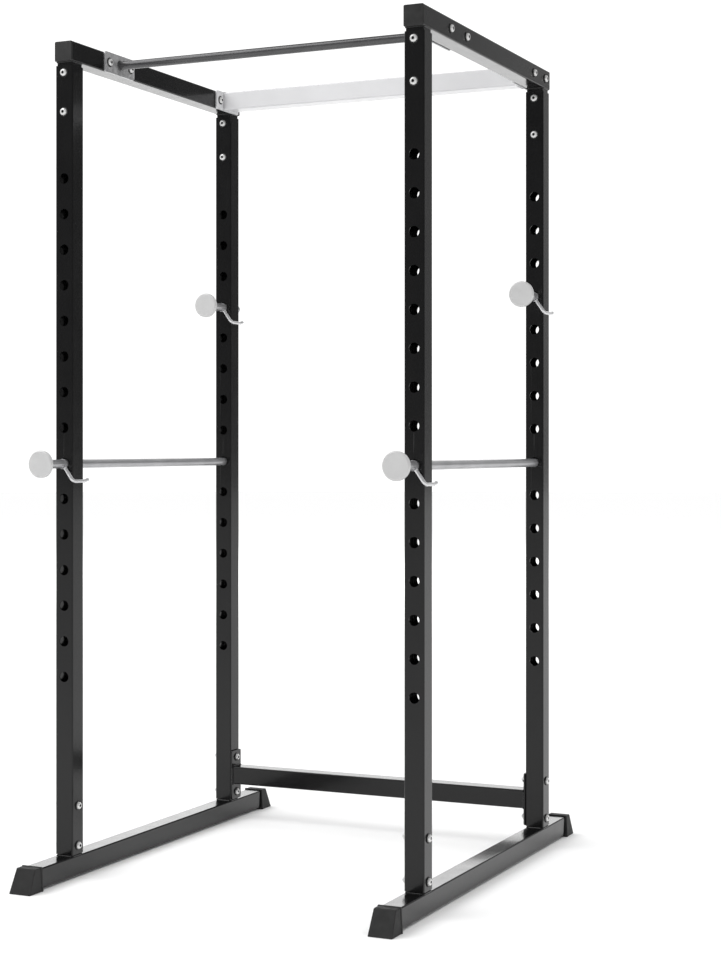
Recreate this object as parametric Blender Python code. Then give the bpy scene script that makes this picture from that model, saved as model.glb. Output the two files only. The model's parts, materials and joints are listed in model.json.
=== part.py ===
"""Power cage: four drilled uprights on two base rails, two top rails, cross-members,
a pull-up bar, and four latched rods (two safety bars, two bar holders).

Metres, +Z up, +X to the cage's right, +Y to its back. The origin is on the floor,
under the middle of the cage.
"""

import math

import bmesh
import bpy
from mathutils import Matrix, Vector

# Overall sizes
POST_SPACING = 0.950  # left to right, centre line to centre line of the uprights
POST_DEPTH = 0.820  # front to back, centre line to centre line of the uprights
CAGE_HEIGHT = 2.091  # floor to the top of the top rails
RAIL_OVERHANG = 0.185  # base rail past the uprights' centre line, front and back

# Square tube
TUBE = 0.050
TUBE_WALL = 0.002
TUBE_CORNER = 0.003
CORNER_STEPS = 2

# Row of holes in each upright
HOLE_DIAMETER = 0.026
HOLE_PITCH = 0.0889
LOWEST_HOLE = 0.504  # above the floor
HOLE_TO_SPIGOT = 0.060  # least distance from the highest hole to the spigot in the tube
HOLE_SIDES = 8

# Joints between rails and uprights
SPIGOT_WALL = 0.003
SPIGOT_ABOVE_RAIL = 0.155
SPIGOT_IN_TOP = 0.150
TOP_GAP = 0.010
BASE_GAP = 0.004
TOP_BOLT_DROP = 0.018  # below the upright's upper end
TOP_BOLT_SPACING = 0.098
BASE_BOLT_RISE = 0.021  # above the upright's lower end
BASE_BOLT_SPACING = 0.100

# Cross-members and pull-up bar
FLANGE_THICKNESS = 0.005
FLANGE_END = 0.020  # flange past the bolt centres
FLANGE_LIP = 0.0015  # flange past the tube's faces
VENT_DIAMETER = 0.018
UPPER_MEMBER_AHEAD = 0.052  # ahead of the rear uprights' centre line
UPPER_BOLT_SPACING = 0.088
PULLUP_BEHIND = 0.189  # behind the front uprights' centre line
PULLUP_BOLT_SPACING = 0.102
PULLUP_DIAMETER = 0.022
PULLUP_WALL = 0.0025

# Bolts
BOLT_DIAMETER = 0.010
BOLT_HEAD_DIAMETER = 0.018
BOLT_HEAD_HEIGHT = 0.0055
NUT_ACROSS_FLATS = 0.017
NUT_HEIGHT = 0.009
BOLT_SIDES = 12
BOLT_HOLE_SIDES = 8

# Feet and end caps
FOOT_UNDER = 0.006
FOOT_WALL = 0.002
FOOT_END_WALL = 0.005
FOOT_LENGTH = 0.025
FOOT_TOE = 0.027  # how far the foot's end slopes out at the floor
FOOT_SPLAY = 0.003  # how far its sides slope out at the floor
CAP_THICKNESS = 0.004
CAP_PLUG = 0.022

# Rods with their knobs and latch hooks
ROD_DIAMETER = 0.022
ROD_SIDES = 12
ROD_STUD_DIAMETER = 0.010
ROD_STUD_LENGTH = 0.014
SAFETY_BEHIND = 0.015  # rod past the rear upright's back face
HOLDER_BEHIND = 0.033
SAFETY_HOLE = 8  # counted down from the highest hole
HOLDER_HOLE = 3
KNOB_DIAMETER = 0.068
KNOB_LENGTH = 0.027
KNOB_RIM = 0.007
KNOB_EDGE = 0.003
KNOB_NECK_DIAMETER = 0.025
KNOB_TO_POST = 0.107  # knob's front face to the upright's front face
KNOB_SIDES = 16
HOOK_WIRE = 0.009
HOOK_SIDES = 8
HOOK_DROP = 0.043  # leg's centre below the rod's centre line
HOOK_BEND = 0.010
HOOK_PAST_POST = 0.014  # tip past the upright's back face
HOOK_TIP_LENGTH = 0.018
HOOK_TIP_RISE = 0.004
COLLAR_WALL = 0.0018
COLLAR_LENGTH = 0.009

# Clearances
TOUCH_GAP = 0.0003  # between faces that touch
SLIP_GAP = 0.0006  # spigot to tube, each side
BOLT_CLEARANCE = 0.0003  # around a bolt's shank
HOOK_CLEARANCE = 0.0005  # hook's leg to the upright's side

# Heights and places that follow from them
RAIL_TOP = FOOT_UNDER + TUBE
POST_FOOT = RAIL_TOP + BASE_GAP
TOP_RAIL_BOTTOM = CAGE_HEIGHT - TUBE
POST_HEAD = TOP_RAIL_BOTTOM - TOP_GAP
TOP_RAIL_CENTRE = CAGE_HEIGHT - TUBE / 2
SPIGOT_SIZE = TUBE - 2 * TUBE_WALL - 2 * SLIP_GAP
HIGHEST_ALLOWED = POST_HEAD - SPIGOT_IN_TOP - HOLE_TO_SPIGOT
HOLE_COUNT = int((HIGHEST_ALLOWED - LOWEST_HOLE) / HOLE_PITCH) + 1
HOLE_HEIGHTS = [LOWEST_HOLE + i * HOLE_PITCH for i in range(HOLE_COUNT)]
TOP_BOLTS = [POST_HEAD - TOP_BOLT_DROP - i * TOP_BOLT_SPACING for i in range(2)]
BASE_BOLTS = [POST_FOOT + BASE_BOLT_RISE + i * BASE_BOLT_SPACING for i in range(2)]
LOWER_MEMBER_CENTRE = sum(BASE_BOLTS) / 2
FRONT_Y = -POST_DEPTH / 2
REAR_Y = POST_DEPTH / 2
PULLUP_Y = FRONT_Y + PULLUP_BEHIND
UPPER_MEMBER_Y = REAR_Y - UPPER_MEMBER_AHEAD
PULLUP_BOLTS = [PULLUP_Y + side * PULLUP_BOLT_SPACING / 2 for side in (-1, 1)]
UPPER_BOLTS = [UPPER_MEMBER_Y + side * UPPER_BOLT_SPACING / 2 for side in (-1, 1)]
RAIL_HALF_LENGTH = POST_DEPTH / 2 + RAIL_OVERHANG
ROD_DROP = (HOLE_DIAMETER - ROD_DIAMETER) / 2 - TOUCH_GAP
SIDES = {"left": -1, "right": 1}
ENDS = {"front": FRONT_Y, "rear": REAR_Y}


def clear_scene():
    for thing in list(bpy.data.objects):
        bpy.data.objects.remove(thing, do_unlink=True)


def make_material(name, colour, roughness, metallic):
    material = bpy.data.materials.new(name)
    material.use_nodes = True
    shader = material.node_tree.nodes["Principled BSDF"]
    shader.inputs["Base Color"].default_value = (*colour, 1.0)
    shader.inputs["Roughness"].default_value = roughness
    shader.inputs["Metallic"].default_value = metallic
    return material


def add_object(name, bm, material=None):
    """Turns a bmesh into an object, with its faces pointing out."""
    bmesh.ops.recalc_face_normals(bm, faces=bm.faces)
    mesh = bpy.data.meshes.new(name)
    bm.to_mesh(mesh)
    bm.free()
    thing = bpy.data.objects.new(name, mesh)
    bpy.context.scene.collection.objects.link(thing)
    if material:
        mesh.materials.append(material)
    return thing


def add_helper(name, bm):
    """A cutter, or a shape that is welded to another object."""
    helper = add_object(name, bm)
    helper.hide_render = True
    helper.display_type = "WIRE"
    return helper


def combine(thing, helper, operation):
    modifier = thing.modifiers.new(helper.name, "BOOLEAN")
    modifier.operation = operation
    modifier.solver = "EXACT"
    modifier.object = helper


def shade_round(thing):
    thing.data.shade_smooth()
    thing.data.set_sharp_from_angle(angle=math.radians(35))


def turn_to(axis):
    """Rotation that takes +Z to the axis."""
    return Vector((0, 0, 1)).rotation_difference(Vector(axis)).to_matrix().to_4x4()


def square_loop(bm, size, corner):
    """Closed loop of edges: a square about +Z with rounded corners."""
    reach = size / 2 - corner
    verts = []
    for quarter in range(4):
        middle = math.radians(45 + 90 * quarter)
        centre = Vector((math.copysign(reach, math.cos(middle)), math.copysign(reach, math.sin(middle)), 0))
        for step in range(CORNER_STEPS + 1):
            angle = math.radians(90 * (quarter + step / CORNER_STEPS))
            verts.append(bm.verts.new(centre + corner * Vector((math.cos(angle), math.sin(angle), 0))))
    return [bm.edges.new((verts[i - 1], verts[i])) for i in range(len(verts))]


def square_tube(bm, start, axis, length, size, wall):
    """Open square tube from start along the axis."""
    corner = min(TUBE_CORNER, size / 4)
    outer = square_loop(bm, size, corner)
    inner = square_loop(bm, size - 2 * wall, max(corner - wall, wall / 4))
    ring = bmesh.ops.bridge_loops(bm, edges=outer + inner)["faces"]
    grown = bmesh.ops.extrude_face_region(bm, geom=ring)["geom"]
    moved = [item for item in grown if isinstance(item, bmesh.types.BMVert)]
    bmesh.ops.translate(bm, verts=moved, vec=(0, 0, length))
    ends = {vert for face in ring for vert in face.verts} | set(moved)
    place = Matrix.Translation(start) @ turn_to(axis)
    bmesh.ops.transform(bm, matrix=place, verts=list(ends))


def box(bm, low, high):
    made = bmesh.ops.create_cube(bm, size=1.0)["verts"]
    low = Vector(low)
    high = Vector(high)
    bmesh.ops.scale(bm, vec=high - low, verts=made)
    bmesh.ops.translate(bm, vec=(low + high) / 2, verts=made)
    return made


def drill(bm, centre, axis, length, diameter, sides):
    """Prism whose flats touch a circle of the diameter, for use as a cutter."""
    radius = diameter / 2 / math.cos(math.pi / sides)
    place = Matrix.Translation(centre) @ turn_to(axis)
    bmesh.ops.create_cone(
        bm, cap_ends=True, segments=sides, radius1=radius, radius2=radius, depth=length, matrix=place
    )


def turned(bm, start, axis, profile, sides, across=None):
    """Solid of revolution from (distance, radius) pairs; an index in across is a hexagon."""
    across = across or ()
    place = Matrix.Translation(start) @ turn_to(axis)
    rings = []
    for index, (distance, radius) in enumerate(profile):
        if radius == 0:
            rings.append([bm.verts.new(place @ Vector((0, 0, distance)))])
            continue
        ring = []
        for step in range(sides):
            reach = radius
            if index in across and step % 2 == 0:
                reach = radius / math.cos(math.pi / 6)
            angle = 2 * math.pi * step / sides
            point = Vector((reach * math.cos(angle), reach * math.sin(angle), distance))
            ring.append(bm.verts.new(place @ point))
        rings.append(ring)
    for first, second in zip(rings, rings[1:]):
        for step in range(sides):
            after = (step + 1) % sides
            corners = [first[step % len(first)], first[after % len(first)]]
            corners += [second[after % len(second)], second[step % len(second)]]
            bm.faces.new(dict.fromkeys(corners))


def rounded_path(corners, bend, steps):
    """Points of a line through the corners, with each inner corner as an arc."""
    corners = [Vector(corner) for corner in corners]
    points = [corners[0]]
    for before, corner, after in zip(corners, corners[1:], corners[2:]):
        arrive = (corner - before).normalized()
        leave = (after - corner).normalized()
        turn = arrive.angle(leave)
        setback = bend * math.tan(turn / 2)
        centre = corner + (leave - arrive).normalized() * bend / math.cos(turn / 2)
        start = corner - arrive * setback - centre
        normal = arrive.cross(leave).normalized()
        for step in range(steps + 1):
            points.append(centre + Matrix.Rotation(turn * step / steps, 3, normal) @ start)
    points.append(corners[-1])
    return points


def wire_mesh(name, points, diameter, sides):
    """Mesh of a round wire along the points, with closed ends."""
    curve = bpy.data.curves.new(name, "CURVE")
    curve.dimensions = "3D"
    curve.bevel_depth = diameter / 2
    curve.bevel_resolution = sides // 2 - 2
    curve.use_fill_caps = True
    spline = curve.splines.new("POLY")
    spline.points.add(len(points) - 1)
    for target, point in zip(spline.points, points):
        target.co = (*point, 1)
    guide = bpy.data.objects.new(name, curve)
    bpy.context.scene.collection.objects.link(guide)
    bpy.context.view_layer.update()
    mesh = bpy.data.meshes.new_from_object(guide.evaluated_get(bpy.context.evaluated_depsgraph_get()))
    bpy.data.objects.remove(guide)
    bpy.data.curves.remove(curve)
    return mesh


def cut_bolt_holes(bm, centres, axis, length):
    for centre in centres:
        drill(bm, centre, axis, length, BOLT_DIAMETER + 2 * BOLT_CLEARANCE, BOLT_HOLE_SIDES)


def add_upright(end, side, material):
    x = SIDES[side] * POST_SPACING / 2
    y = ENDS[end]
    bm = bmesh.new()
    square_tube(bm, (x, y, POST_FOOT), (0, 0, 1), POST_HEAD - POST_FOOT, TUBE, TUBE_WALL)
    upright = add_object(f"{end}_{side}_upright", bm, material)
    bm = bmesh.new()
    for height in HOLE_HEIGHTS:
        drill(bm, (x, y, height), (0, 1, 0), 2 * TUBE, HOLE_DIAMETER, HOLE_SIDES)
    cut_bolt_holes(bm, [(x, y, height) for height in TOP_BOLTS], (0, 1, 0), 2 * TUBE)
    cut_bolt_holes(bm, [(x, y, height) for height in BASE_BOLTS], (1, 0, 0), 2 * TUBE)
    combine(upright, add_helper(f"{upright.name}_holes", bm), "DIFFERENCE")


def add_base_rail(side, material):
    """Rail along Y on the floor side, with a spigot standing on it for each upright."""
    x = SIDES[side] * POST_SPACING / 2
    start = (x, -RAIL_HALF_LENGTH, FOOT_UNDER + TUBE / 2)
    bm = bmesh.new()
    square_tube(bm, start, (0, 1, 0), 2 * RAIL_HALF_LENGTH, TUBE, TUBE_WALL)
    add_object(f"{side}_base_rail", bm, material)
    for end, y in ENDS.items():
        start = (x, y, RAIL_TOP + TOUCH_GAP)
        bm = bmesh.new()
        square_tube(bm, start, (0, 0, 1), SPIGOT_ABOVE_RAIL - TOUCH_GAP, SPIGOT_SIZE, SPIGOT_WALL)
        spigot = add_object(f"{end}_{side}_base_spigot", bm, material)
        bm = bmesh.new()
        cut_bolt_holes(bm, [(x, y, height) for height in BASE_BOLTS], (1, 0, 0), 2 * TUBE)
        combine(spigot, add_helper(f"{spigot.name}_holes", bm), "DIFFERENCE")


def add_top_rail(side, material):
    """Rail along Y over the uprights, with a spigot welded under it for each of them."""
    name = f"{side}_top_rail"
    x = SIDES[side] * POST_SPACING / 2
    half_length = POST_DEPTH / 2 + TUBE / 2
    bm = bmesh.new()
    square_tube(bm, (x, -half_length, TOP_RAIL_CENTRE), (0, 1, 0), 2 * half_length, TUBE, TUBE_WALL)
    rail = add_object(name, bm, material)
    length = TOP_GAP + SPIGOT_IN_TOP
    sunk = TUBE_WALL / 2  # the spigot's end is welded into the rail's wall
    for end, y in ENDS.items():
        start = (x, y, TOP_RAIL_BOTTOM - length)
        bm = bmesh.new()
        square_tube(bm, start, (0, 0, 1), length + sunk, SPIGOT_SIZE, SPIGOT_WALL)
        combine(rail, add_helper(f"{name}_{end}_spigot", bm), "UNION")
    bm = bmesh.new()
    for y in ENDS.values():
        cut_bolt_holes(bm, [(x, y, height) for height in TOP_BOLTS], (0, 1, 0), 2 * TUBE)
    cut_bolt_holes(bm, [(x, y, TOP_RAIL_CENTRE) for y in PULLUP_BOLTS + UPPER_BOLTS], (1, 0, 0), 2 * TUBE)
    combine(rail, add_helper(f"{name}_holes", bm), "DIFFERENCE")


def add_member(name, y, z, tube_of, flange_low, flange_high, bolts, vent, material):
    """Member along X between two flanges, which stand on the inner faces of the cage."""
    reach = POST_SPACING / 2 - TUBE / 2 - TOUCH_GAP
    inner = reach - FLANGE_THICKNESS
    sunk = FLANGE_THICKNESS / 2
    bm = bmesh.new()
    tube_of(bm, (-inner - sunk, y, z), 2 * (inner + sunk))
    member = add_object(name, bm, material)
    for side, sign in SIDES.items():
        bm = bmesh.new()
        near = sorted((sign * inner, sign * reach))
        box(bm, (near[0], *flange_low), (near[1], *flange_high))
        combine(member, add_helper(f"{name}_{side}_flange", bm), "UNION")
    bm = bmesh.new()
    for sign in SIDES.values():
        middle = sign * (reach - FLANGE_THICKNESS / 2)
        depth = 4 * FLANGE_THICKNESS
        cut_bolt_holes(bm, [(middle, *bolt) for bolt in bolts], (1, 0, 0), depth)
        drill(bm, (middle, y, z), (1, 0, 0), depth, vent, BOLT_HOLE_SIDES)
    combine(member, add_helper(f"{name}_holes", bm), "DIFFERENCE")


def square_member(bm, start, length):
    square_tube(bm, start, (1, 0, 0), length, TUBE, TUBE_WALL)


def round_member(bm, start, length):
    radius = PULLUP_DIAMETER / 2
    bore = radius - PULLUP_WALL
    profile = [(0, bore), (0, radius), (length, radius), (length, bore), (0, bore)]
    turned(bm, start, (1, 0, 0), profile, ROD_SIDES)
    bmesh.ops.remove_doubles(bm, verts=bm.verts, dist=TOUCH_GAP / 10)


def add_members(dark, light, grey):
    half = TUBE / 2 + FLANGE_LIP
    low = BASE_BOLTS[0] - FLANGE_END
    high = BASE_BOLTS[1] + FLANGE_END
    bolts = [(REAR_Y, height) for height in BASE_BOLTS]
    add_member(
        "rear_lower_crossmember", REAR_Y, LOWER_MEMBER_CENTRE, square_member,
        (REAR_Y - half, low), (REAR_Y + half, high), bolts, VENT_DIAMETER, dark,
    )
    low = UPPER_BOLTS[0] - FLANGE_END
    high = UPPER_BOLTS[1] + FLANGE_END
    bolts = [(y, TOP_RAIL_CENTRE) for y in UPPER_BOLTS]
    add_member(
        "rear_upper_crossmember", UPPER_MEMBER_Y, TOP_RAIL_CENTRE, square_member,
        (low, TOP_RAIL_CENTRE - half), (high, TOP_RAIL_CENTRE + half), bolts, VENT_DIAMETER, light,
    )
    low = PULLUP_BOLTS[0] - FLANGE_END
    high = PULLUP_BOLTS[1] + FLANGE_END
    bolts = [(y, TOP_RAIL_CENTRE) for y in PULLUP_BOLTS]
    bore = PULLUP_DIAMETER - 2 * PULLUP_WALL - 2 * TOUCH_GAP
    add_member(
        "pull_up_bar", PULLUP_Y, TOP_RAIL_CENTRE, round_member,
        (low, TOP_RAIL_CENTRE - half), (high, TOP_RAIL_CENTRE + half), bolts, bore, grey,
    )


def add_bolt(name, start, axis, grip, material):
    """Button-head bolt with its nut; start is the face under the head, grip the clamped length."""
    shank = BOLT_DIAMETER / 2
    head = BOLT_HEAD_DIAMETER / 2
    flat = NUT_ACROSS_FLATS / 2
    far = grip + TOUCH_GAP
    profile = [
        (-TOUCH_GAP - BOLT_HEAD_HEIGHT, 0),
        (-TOUCH_GAP - BOLT_HEAD_HEIGHT, head / 2),
        (-TOUCH_GAP - BOLT_HEAD_HEIGHT / 3, head),
        (-TOUCH_GAP, head),
        (-TOUCH_GAP, shank),
        (far, shank),
        (far, flat),
        (far + NUT_HEIGHT, flat),
        (far + NUT_HEIGHT, 0),
    ]
    bm = bmesh.new()
    turned(bm, start, axis, profile, BOLT_SIDES, across=(6, 7))
    shade_round(add_object(name, bm, material))


def add_bolts(material):
    half = TUBE / 2
    plate = FLANGE_THICKNESS + TOUCH_GAP
    for side, sign in SIDES.items():
        x = sign * POST_SPACING / 2
        for end, y in ENDS.items():
            for level, height in zip(("upper", "lower"), TOP_BOLTS):
                name = f"{end}_{side}_top_bolt_{level}"
                add_bolt(name, (x, y - half, height), (0, 1, 0), TUBE, material)
            # A flange lies under the head on the left of the cage, and under the nut on the right.
            flange = plate if end == "rear" else 0
            start = x + half + (flange if side == "left" else 0)
            for level, height in zip(("lower", "upper"), BASE_BOLTS):
                name = f"{end}_{side}_base_bolt_{level}"
                add_bolt(name, (start, y, height), (-1, 0, 0), TUBE + flange, material)
        start = x + half + (plate if side == "left" else 0)
        for kind, places in (("pull_up_bar", PULLUP_BOLTS), ("crossmember", UPPER_BOLTS)):
            for end, y in zip(("front", "rear"), places):
                name = f"{side}_{kind}_bolt_{end}"
                add_bolt(name, (start, y, TOP_RAIL_CENTRE), (-1, 0, 0), TUBE + plate, material)


def add_foot(end, side, material):
    """Rubber sleeve over a base rail's end, sloping out towards the floor."""
    sign = 1 if end == "rear" else -1
    x = SIDES[side] * POST_SPACING / 2
    half = TUBE / 2 + TOUCH_GAP + FOOT_WALL
    end_y = sign * (RAIL_HALF_LENGTH + TOUCH_GAP)
    inner_y = sign * (RAIL_HALF_LENGTH - FOOT_LENGTH)
    outer_y = end_y + sign * FOOT_END_WALL
    top = RAIL_TOP + TOUCH_GAP + FOOT_WALL
    bm = bmesh.new()
    low_y, high_y = sorted((inner_y, outer_y))
    made = box(bm, (x - half, low_y, 0), (x + half, high_y, top))
    for vert in made:
        if vert.co.z < top / 2:
            vert.co.x += math.copysign(FOOT_SPLAY, vert.co.x - x)
            if abs(vert.co.y - outer_y) < TOUCH_GAP:
                vert.co.y += sign * FOOT_TOE
    foot = add_object(f"{end}_{side}_foot", bm, material)
    bm = bmesh.new()
    reach = TUBE / 2 + TOUCH_GAP
    low_y, high_y = sorted((inner_y - sign * FOOT_LENGTH, end_y))
    box(bm, (x - reach, low_y, FOOT_UNDER - TOUCH_GAP), (x + reach, high_y, RAIL_TOP + TOUCH_GAP))
    combine(foot, add_helper(f"{foot.name}_socket", bm), "DIFFERENCE")


def add_rail_cap(end, side, material):
    """Plastic plug that closes a top rail's end."""
    sign = 1 if end == "rear" else -1
    x = SIDES[side] * POST_SPACING / 2
    face_y = sign * (POST_DEPTH / 2 + TUBE / 2 + TOUCH_GAP)
    half = TUBE / 2
    bm = bmesh.new()
    low_y, high_y = sorted((face_y, face_y + sign * CAP_THICKNESS))
    box(bm, (x - half, low_y, TOP_RAIL_BOTTOM), (x + half, high_y, CAGE_HEIGHT))
    cap = add_object(f"{end}_{side}_rail_cap", bm, material)
    bm = bmesh.new()
    plug = half - TUBE_WALL - TOUCH_GAP - TUBE_CORNER / 2
    low_y, high_y = sorted((face_y - sign * CAP_PLUG, face_y + sign * CAP_THICKNESS / 2))
    low_z = TOP_RAIL_CENTRE - plug
    high_z = TOP_RAIL_CENTRE + plug
    box(bm, (x - plug, low_y, low_z), (x + plug, high_y, high_z))
    combine(cap, add_helper(f"{cap.name}_plug", bm), "UNION")


def add_rod_set(name, side, post_y, far_y, height, steel, bright):
    """Rod along Y with its knob and latch hook, on an empty that lies on the rod's axis."""
    face_y = post_y - TUBE / 2
    pivot = bpy.data.objects.new(f"{name}_axis", None)
    pivot.location = (SIDES[side] * POST_SPACING / 2, face_y, height - ROD_DROP)
    bpy.context.scene.collection.objects.link(pivot)

    knob_start = -KNOB_TO_POST
    rod_start = knob_start + KNOB_LENGTH + TOUCH_GAP
    rod_end = far_y - face_y
    radius = ROD_DIAMETER / 2
    stud = ROD_STUD_DIAMETER / 2
    chamfer = radius / 6
    bm = bmesh.new()
    profile = [
        (rod_start - ROD_STUD_LENGTH, 0),
        (rod_start - ROD_STUD_LENGTH, stud),
        (rod_start, stud),
        (rod_start, radius),
        (rod_end - chamfer, radius),
        (rod_end, radius - chamfer),
        (rod_end, 0),
    ]
    turned(bm, (0, 0, 0), (0, 1, 0), profile, ROD_SIDES)
    rod = add_object(name, bm, steel)

    bore = stud + TOUCH_GAP
    depth = ROD_STUD_LENGTH
    profile = [
        (0, 0),
        (0, KNOB_DIAMETER / 2 - KNOB_EDGE),
        (KNOB_EDGE, KNOB_DIAMETER / 2),
        (KNOB_RIM, KNOB_DIAMETER / 2),
        (KNOB_LENGTH, KNOB_NECK_DIAMETER / 2),
        (KNOB_LENGTH, bore),
        (KNOB_LENGTH - depth, bore),
        (KNOB_LENGTH - depth, 0),
    ]
    bm = bmesh.new()
    turned(bm, (0, knob_start, 0), (0, 1, 0), profile, KNOB_SIDES)
    knob = add_object(f"{name}_knob", bm, bright)

    hook = add_hook(f"{name}_hook", steel)
    for piece in (rod, knob, hook):
        shade_round(piece)
        piece.parent = pivot


def add_hook(name, material):
    """Collar that turns on the rod, with a wire leg that lies along the upright's right side."""
    wire = HOOK_WIRE / 2
    ring_y = -TOUCH_GAP - COLLAR_LENGTH
    wire_y = -TOUCH_GAP - wire
    leg_x = TUBE / 2 + HOOK_CLEARANCE + wire
    inside = (ROD_DIAMETER / 2 + TOUCH_GAP) / math.cos(math.pi / ROD_SIDES)  # its flats clear the rod
    outside = inside + COLLAR_WALL
    foot = Vector((leg_x, wire_y, -HOOK_DROP))
    outward = Vector((leg_x, 0, -HOOK_DROP)).normalized()
    start = outward * (inside + COLLAR_WALL / 3) + Vector((0, wire_y, 0))
    tip_y = TUBE + HOOK_PAST_POST
    corners = [
        start,
        foot,
        (leg_x, tip_y - HOOK_TIP_LENGTH, -HOOK_DROP),
        (leg_x, tip_y, -HOOK_DROP + HOOK_TIP_RISE),
    ]
    path = rounded_path(corners, HOOK_BEND, 4)
    hook = bpy.data.objects.new(name, wire_mesh(name, path, HOOK_WIRE, HOOK_SIDES))
    hook.data.materials.append(material)
    bpy.context.scene.collection.objects.link(hook)
    bm = bmesh.new()
    profile = [(0, inside), (0, outside), (COLLAR_LENGTH, outside), (COLLAR_LENGTH, inside), (0, inside)]
    turned(bm, (0, ring_y, 0), (0, 1, 0), profile, ROD_SIDES)
    bmesh.ops.remove_doubles(bm, verts=bm.verts, dist=TOUCH_GAP / 10)
    collar = add_helper(f"{name}_collar", bm)
    collar.parent = hook
    combine(hook, collar, "UNION")
    return hook


def build():
    clear_scene()
    black = make_material("black_paint", (0.012, 0.012, 0.013), 0.30, 0.0)
    silver = make_material("silver_paint", (0.62, 0.62, 0.63), 0.35, 0.2)
    grey = make_material("grey_paint", (0.12, 0.12, 0.125), 0.35, 0.3)
    steel = make_material("polished_steel", (0.55, 0.55, 0.56), 0.18, 1.0)
    bright = make_material("satin_steel", (0.70, 0.70, 0.70), 0.30, 0.9)
    rubber = make_material("rubber", (0.02, 0.02, 0.02), 0.7, 0.0)
    plastic = make_material("black_plastic", (0.015, 0.015, 0.015), 0.45, 0.0)
    for side in SIDES:
        add_base_rail(side, black)
        add_top_rail(side, black)
        for end in ENDS:
            add_upright(end, side, black)
            add_foot(end, side, rubber)
            add_rail_cap(end, side, plastic)
    add_members(black, silver, grey)
    add_bolts(bright)
    safety_height = HOLE_HEIGHTS[-1 - SAFETY_HOLE]
    holder_height = HOLE_HEIGHTS[-1 - HOLDER_HOLE]
    safety_end = REAR_Y + TUBE / 2 + SAFETY_BEHIND
    holder_end = REAR_Y + TUBE / 2 + HOLDER_BEHIND
    for side in SIDES:
        add_rod_set(f"{side}_safety_bar", side, FRONT_Y, safety_end, safety_height, steel, bright)
        add_rod_set(f"{side}_bar_holder", side, REAR_Y, holder_end, holder_height, steel, bright)


build()
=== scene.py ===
import json
import math

import bmesh
import bpy
from mathutils import Matrix, Vector

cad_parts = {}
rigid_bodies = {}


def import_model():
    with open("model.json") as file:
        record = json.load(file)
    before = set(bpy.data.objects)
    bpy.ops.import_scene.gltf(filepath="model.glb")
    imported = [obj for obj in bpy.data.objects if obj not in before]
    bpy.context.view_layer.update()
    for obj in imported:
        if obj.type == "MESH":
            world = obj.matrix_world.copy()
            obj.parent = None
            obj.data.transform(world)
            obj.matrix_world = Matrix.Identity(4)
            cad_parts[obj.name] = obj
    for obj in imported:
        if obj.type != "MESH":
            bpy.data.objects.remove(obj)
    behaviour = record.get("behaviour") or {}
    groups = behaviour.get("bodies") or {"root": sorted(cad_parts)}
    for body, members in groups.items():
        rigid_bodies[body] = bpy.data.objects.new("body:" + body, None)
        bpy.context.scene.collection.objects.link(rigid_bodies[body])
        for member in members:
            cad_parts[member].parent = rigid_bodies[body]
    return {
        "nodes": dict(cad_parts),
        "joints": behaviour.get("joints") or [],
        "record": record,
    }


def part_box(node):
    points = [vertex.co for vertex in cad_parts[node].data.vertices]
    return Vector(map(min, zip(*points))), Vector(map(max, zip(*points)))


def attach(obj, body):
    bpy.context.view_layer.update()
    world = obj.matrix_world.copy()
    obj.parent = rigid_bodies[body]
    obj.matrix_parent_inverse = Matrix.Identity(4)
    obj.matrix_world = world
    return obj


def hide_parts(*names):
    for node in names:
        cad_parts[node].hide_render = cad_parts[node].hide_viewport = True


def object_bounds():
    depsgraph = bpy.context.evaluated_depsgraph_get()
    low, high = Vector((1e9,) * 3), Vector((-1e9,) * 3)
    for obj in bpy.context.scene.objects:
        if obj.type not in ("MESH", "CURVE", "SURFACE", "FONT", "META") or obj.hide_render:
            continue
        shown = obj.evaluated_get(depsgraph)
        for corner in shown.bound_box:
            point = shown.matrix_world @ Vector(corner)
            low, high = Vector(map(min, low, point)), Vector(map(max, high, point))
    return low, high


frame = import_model()
cadLow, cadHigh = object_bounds()
rootBody = frame["joints"][0]["parent"]
across = Vector((1, 0, 0))
back = Vector((0, 1, 0))
up = Vector((0, 0, 1))
sides = ("left", "right")
ends = ("front", "rear")


def alongAxis(point, direction):
    # takes a shape that stands on the origin along +Z to the point, along the direction
    turn = up.rotation_difference(Vector(direction)).to_matrix().to_4x4()
    return Matrix.Translation(point) @ turn


def pieceName(node):
    words = node.split("_")
    return words[0] + "".join(word.title() for word in words[1:])


def softenEdges(bm, width, segments=2, angle=40, chosen=None):
    # small round on every sharp edge, or on the sharp ones of those chosen
    sharp = [
        edge for edge in (chosen or bm.edges)
        if len(edge.link_faces) == 2 and edge.calc_face_angle(0) > math.radians(angle)
    ]
    bmesh.ops.bevel(
        bm, geom=sharp, offset=width, offset_type="OFFSET", segments=segments, profile=0.5,
        affect="EDGES", material=-1, clamp_overlap=True,
    )
    return bm


def placed(bm, matrix):
    bmesh.ops.transform(bm, matrix=matrix, verts=bm.verts)
    return bm


def joined(*shapes):
    # several bmeshes as one, each with its own material number kept
    whole = bmesh.new()
    for shape in shapes:
        copied = bpy.data.meshes.new("copied")
        shape.to_mesh(copied)
        shape.free()
        whole.from_mesh(copied)
        bpy.data.meshes.remove(copied)
    return whole


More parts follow.
